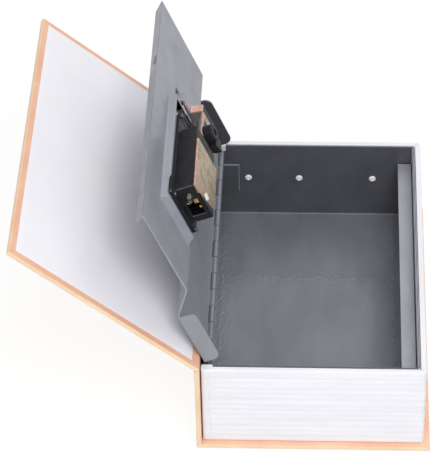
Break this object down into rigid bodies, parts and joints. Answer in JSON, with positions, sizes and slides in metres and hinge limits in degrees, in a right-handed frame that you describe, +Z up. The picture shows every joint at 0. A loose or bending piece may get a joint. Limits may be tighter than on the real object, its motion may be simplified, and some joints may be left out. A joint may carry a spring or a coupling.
{
  "type": "book diversion safe",
  "caption": "Book-shaped safe: a hinged front cover hides a page-block frame round a steel tray, with a hinged steel lid that carries a number-dial lock and sliding latch.",
  "frame": {"origin": "centre of the back cover's underside, the face that the book lies on", "axes": "+X from the spine to the fore edge, +Y from tail to head, +Z up"},
  "size_m": [0.2004, 0.18, 0.1468],
  "materials": {
    "cover_paper": "peach coated paper over board, cream at the board's edges",
    "endpaper": "matt white paper",
    "page_plastic": "satin moulded plastic with page ridges",
    "hammered_paint": "hammered grey gloss paint",
    "bright_steel": "bright plated steel",
    "yellow_zinc": "yellow passivated zinc",
    "black_plastic": "black moulded plastic",
    "ivory_plastic": "off-white moulded plastic",
    "brass": "bright brass"
  },
  "bodies": {
    "case": {"back_cover_board": "cover_paper", "back_endpaper": "endpaper", "spine_board": "cover_paper", "page_block_frame": "page_plastic", "steel_tray": "hammered_paint", "strike_ledge": "hammered_paint", "box_hinge_leaf": "hammered_paint", "hinge_pin": "bright_steel", "tail_rivet_1": "bright_steel", "tail_rivet_2": "bright_steel", "tail_rivet_3": "bright_steel", "head_rivet_1": "bright_steel", "head_rivet_2": "bright_steel", "head_rivet_3": "bright_steel", "leaf_rivet_1": "bright_steel", "leaf_rivet_2": "bright_steel", "leaf_rivet_3": "bright_steel", "leaf_rivet_4": "bright_steel", "ledge_rivet_1": "bright_steel", "ledge_rivet_2": "bright_steel", "ledge_rivet_3": "bright_steel"},
    "front_cover": {"front_cover_board": "cover_paper", "front_endpaper": "endpaper"},
    "lid": {"lid_panel": "hammered_paint", "lock_bezel": "black_plastic", "lock_housing": "black_plastic", "lock_cover_plate": "yellow_zinc", "dial_axle": "bright_steel", "axle_washer": "ivory_plastic", "axle_spring": "brass", "detent_spring": "bright_steel", "latch_guide_strap": "yellow_zinc", "lock_screw_1": "bright_steel", "lock_screw_2": "bright_steel", "lock_screw_3": "bright_steel", "lock_screw_4": "bright_steel"},
    "latch": {"latch_plate": "yellow_zinc", "fence_bar": "black_plastic", "thumb_slide": "black_plastic", "slide_knob": "black_plastic"},
    "dial_wheel_1": {"dial_1": "black_plastic", "dial_sleeve_1": "brass"},
    "dial_wheel_2": {"dial_2": "black_plastic", "dial_sleeve_2": "brass"},
    "dial_wheel_3": {"dial_3": "black_plastic", "dial_sleeve_3": "brass"},
    "change_button": {"code_change_button": "ivory_plastic"}
  },
  "joints": [
    {"name": "lid_hinge", "type": "hinge", "parent": "case", "child": "lid", "pos_m": [-0.0508, 0, 0.0503], "axis": [0, 1, 0], "range_deg": [0, 112.2]},
    {"name": "cover_hinge", "type": "hinge", "parent": "case", "child": "front_cover", "pos_m": [-0.05625, 0, 0.05375], "axis": [0, 1, 0], "range_deg": [0, 139]},
    {"name": "latch_slide", "type": "slide", "parent": "lid", "child": "latch", "axis": [-0.3778, 0, 0.9259], "range_m": [0, 0.003]},
    {"name": "change_button_push", "type": "slide", "parent": "lid", "child": "change_button", "axis": [0, 1, 0], "range_m": [0, 0.0015], "stiffness_N_per_m": 150},
    {"name": "dial_turn_1", "type": "hinge", "parent": "lid", "child": "dial_wheel_1", "pos_m": [-0.0607, -0.023, 0.11744], "axis": [0, 1, 0], "continuous": true},
    {"name": "dial_turn_2", "type": "hinge", "parent": "lid", "child": "dial_wheel_2", "pos_m": [-0.0607, -0.014, 0.11744], "axis": [0, 1, 0], "continuous": true},
    {"name": "dial_turn_3", "type": "hinge", "parent": "lid", "child": "dial_wheel_3", "pos_m": [-0.0607, -0.005, 0.11744], "axis": [0, 1, 0], "continuous": true}
  ],
  "couplings": [
    {"joint": "cover_hinge", "follows": "lid_hinge", "ratio": 1.2389}
  ]
}
